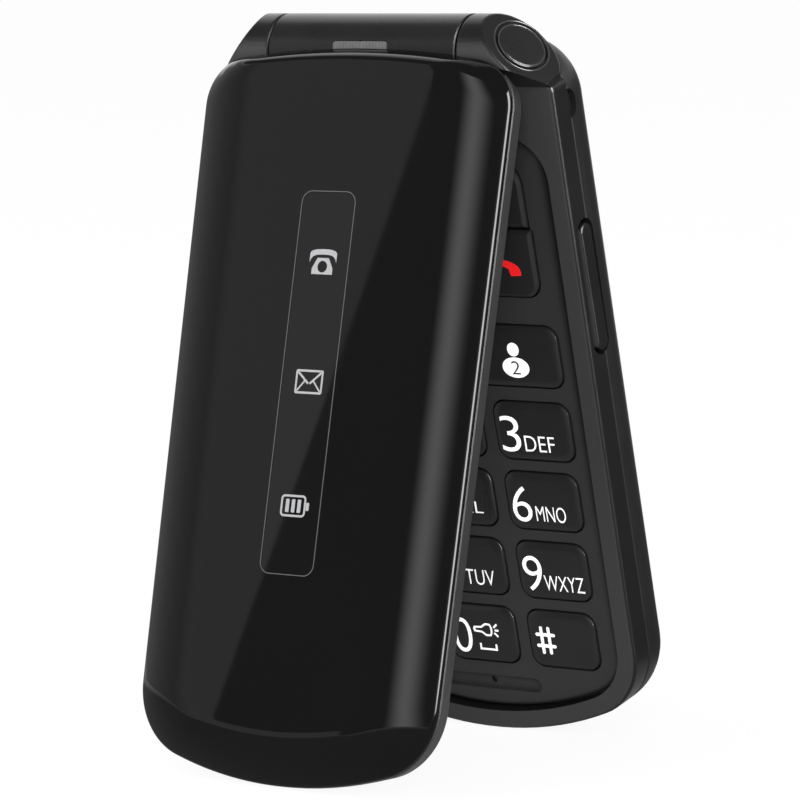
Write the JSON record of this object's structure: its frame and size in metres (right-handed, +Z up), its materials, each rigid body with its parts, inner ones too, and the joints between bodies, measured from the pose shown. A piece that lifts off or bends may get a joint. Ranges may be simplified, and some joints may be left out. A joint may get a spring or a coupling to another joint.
{
  "type": "flip phone",
  "caption": "Clamshell phone with large keys, glossy lid with icon window, standing half open like a tent",
  "frame": {"origin": "centre of the footprint, on the floor the two free ends stand on", "axes": "+X along the hinge, +Z up, -Y on the side the glossy lid faces"},
  "size_m": [0.0544, 0.0632, 0.1032],
  "materials": {
    "gloss_black": "high gloss black",
    "satin_black": "satin graphite black",
    "shell_black": "fine soft-touch black",
    "key_black": "satin black keys with white print",
    "ring_grey": "satin dark grey",
    "frame_grey": "satin dark grey",
    "smoked_window": "smoked clear plastic",
    "clear_lens": "frosted clear plastic",
    "screen_glass": "polished",
    "screen_panel": "display panel",
    "circuit_board": "green solder mask",
    "led_white": "milky white",
    "battery_wrap": "printed wrap",
    "steel": "plain",
    "spring_steel": "domed",
    "gold_contact": "gold plated",
    "chassis_magnesium": "cast, grey",
    "black_moulding": "plain",
    "flex_amber": "polyimide film",
    "bumper_rubber": "soft"
  },
  "bodies": {
    "base": {"keypad_housing": "satin_black", "keypad_panel": "satin_black", "rear_chassis": "chassis_magnesium", "battery": "battery_wrap", "main_circuit_board": "circuit_board", "key_domes": "spring_steel", "loudspeaker": "steel", "microphone": "steel", "usb_socket": "steel", "headphone_jack": "black_moulding", "vibration_motor": "steel", "sim_card_socket": "steel", "battery_contacts": "gold_contact", "antenna": "gold_contact", "volume_switches": "steel", "housing_screws": "steel", "hinge_cap_left": "frame_grey", "hinge_cap_right": "frame_grey", "hinge_pivot_tube": "steel", "hinge_cam_shaft": "steel", "flex_tail": "flex_amber"},
    "lid": {"lid_outer_cover": "gloss_black", "indicator_window": "smoked_window", "indicator_lights": "led_white", "lid_inner_frame": "frame_grey", "hinge_barrel": "satin_black", "torch_lens": "clear_lens", "torch_led": "led_white", "display_module": "screen_panel", "display_lens": "screen_glass", "earpiece": "steel", "lid_circuit_board": "circuit_board", "lid_bumpers": "bumper_rubber", "hinge_spring_unit": "steel", "flex_coil": "flex_amber", "closing_magnet": "steel"},
    "battery_cover": {"battery_cover": "shell_black"},
    "volume_key": {"volume_key": "satin_black"},
    "nav_rocker_plate": {"nav_rocker_plate": "steel"},
    "nav_ring": {"nav_ring": "ring_grey"},
    "nav_ok_key": {"nav_ok_key": "key_black"},
    "key_1": {"key_1": "key_black"},
    "key_2": {"key_2": "key_black"},
    "key_3": {"key_3": "key_black"},
    "key_4": {"key_4": "key_black"},
    "key_5": {"key_5": "key_black"},
    "key_6": {"key_6": "key_black"},
    "key_7": {"key_7": "key_black"},
    "key_8": {"key_8": "key_black"},
    "key_9": {"key_9": "key_black"},
    "key_star": {"key_star": "key_black"},
    "key_0": {"key_0": "key_black"},
    "key_hash": {"key_hash": "key_black"},
    "memory_key_2": {"memory_key_2": "key_black"},
    "memory_key_1": {"memory_key_1": "key_black"},
    "centre_key": {"centre_key": "key_black"},
    "soft_key_right": {"soft_key_right": "key_black"},
    "soft_key_left": {"soft_key_left": "key_black"},
    "end_key": {"end_key": "key_black"},
    "call_key": {"call_key": "key_black"}
  },
  "joints": [
    {"name": "lid_hinge", "type": "hinge", "parent": "base", "child": "lid", "pos_m": [0, -0.00186, 0.09811], "axis": [-1, 0, 0], "range_deg": [-26.8, 133]},
    {"name": "battery_cover_lift", "type": "slide", "parent": "base", "child": "battery_cover", "axis": [0, 0.9727, 0.2323], "range_m": [0, 0.015]},
    {"name": "volume_rock", "type": "hinge", "parent": "base", "child": "volume_key", "pos_m": [0.0253, 0.01085, 0.06599], "axis": [0, 0.9727, 0.2323], "range_deg": [-0.8, 0.8], "stiffness_Nm_per_rad": 0.05},
    {"name": "nav_rock_sideways", "type": "hinge", "parent": "base", "child": "nav_rocker_plate", "pos_m": [0, 0.00755, 0.07404], "axis": [0, -0.2323, 0.9727], "range_deg": [-1.1, 1.1], "stiffness_Nm_per_rad": 0.05},
    {"name": "nav_rock_lengthwise", "type": "hinge", "parent": "nav_rocker_plate", "child": "nav_ring", "pos_m": [0, 0.00755, 0.07404], "axis": [1, 0, 0], "range_deg": [-1.1, 1.1], "stiffness_Nm_per_rad": 0.05},
    {"name": "nav_ok_press", "type": "slide", "parent": "base", "child": "nav_ok_key", "axis": [0, 0.9727, 0.2323], "range_m": [0, 0.0005], "stiffness_N_per_m": 1000},
    {"name": "key_1_press", "type": "slide", "parent": "base", "child": "key_1", "axis": [0, 0.9727, 0.2323], "range_m": [0, 0.0005], "stiffness_N_per_m": 1000},
    {"name": "key_2_press", "type": "slide", "parent": "base", "child": "key_2", "axis": [0, 0.9727, 0.2323], "range_m": [0, 0.0005], "stiffness_N_per_m": 1000},
    {"name": "key_3_press", "type": "slide", "parent": "base", "child": "key_3", "axis": [0, 0.9727, 0.2323], "range_m": [0, 0.0005], "stiffness_N_per_m": 1000},
    {"name": "key_4_press", "type": "slide", "parent": "base", "child": "key_4", "axis": [0, 0.9727, 0.2323], "range_m": [0, 0.0005], "stiffness_N_per_m": 1000},
    {"name": "key_5_press", "type": "slide", "parent": "base", "child": "key_5", "axis": [0, 0.9727, 0.2323], "range_m": [0, 0.0005], "stiffness_N_per_m": 1000},
    {"name": "key_6_press", "type": "slide", "parent": "base", "child": "key_6", "axis": [0, 0.9727, 0.2323], "range_m": [0, 0.0005], "stiffness_N_per_m": 1000},
    {"name": "key_7_press", "type": "slide", "parent": "base", "child": "key_7", "axis": [0, 0.9727, 0.2323], "range_m": [0, 0.0005], "stiffness_N_per_m": 1000},
    {"name": "key_8_press", "type": "slide", "parent": "base", "child": "key_8", "axis": [0, 0.9727, 0.2323], "range_m": [0, 0.0005], "stiffness_N_per_m": 1000},
    {"name": "key_9_press", "type": "slide", "parent": "base", "child": "key_9", "axis": [0, 0.9727, 0.2323], "range_m": [0, 0.0005], "stiffness_N_per_m": 1000},
    {"name": "key_star_press", "type": "slide", "parent": "base", "child": "key_star", "axis": [0, 0.9727, 0.2323], "range_m": [0, 0.0005], "stiffness_N_per_m": 1000},
    {"name": "key_0_press", "type": "slide", "parent": "base", "child": "key_0", "axis": [0, 0.9727, 0.2323], "range_m": [0, 0.0005], "stiffness_N_per_m": 1000},
    {"name": "key_hash_press", "type": "slide", "parent": "base", "child": "key_hash", "axis": [0, 0.9727, 0.2323], "range_m": [0, 0.0005], "stiffness_N_per_m": 1000},
    {"name": "memory_key_2_press", "type": "slide", "parent": "base", "child": "memory_key_2", "axis": [0, 0.9727, 0.2323], "range_m": [0, 0.0005], "stiffness_N_per_m": 1000},
    {"name": "memory_key_1_press", "type": "slide", "parent": "base", "child": "memory_key_1", "axis": [0, 0.9727, 0.2323], "range_m": [0, 0.0005], "stiffness_N_per_m": 1000},
    {"name": "centre_key_press", "type": "slide", "parent": "base", "child": "centre_key", "axis": [0, 0.9727, 0.2323], "range_m": [0, 0.0005], "stiffness_N_per_m": 1000},
    {"name": "soft_key_right_press", "type": "slide", "parent": "base", "child": "soft_key_right", "axis": [0, 0.9727, 0.2323], "range_m": [0, 0.0005], "stiffness_N_per_m": 1000},
    {"name": "soft_key_left_press", "type": "slide", "parent": "base", "child": "soft_key_left", "axis": [0, 0.9727, 0.2323], "range_m": [0, 0.0005], "stiffness_N_per_m": 1000},
    {"name": "end_key_press", "type": "slide", "parent": "base", "child": "end_key", "axis": [0, 0.9727, 0.2323], "range_m": [0, 0.0005], "stiffness_N_per_m": 1000},
    {"name": "call_key_press", "type": "slide", "parent": "base", "child": "call_key", "axis": [0, 0.9727, 0.2323], "range_m": [0, 0.0005], "stiffness_N_per_m": 1000}
  ]
}
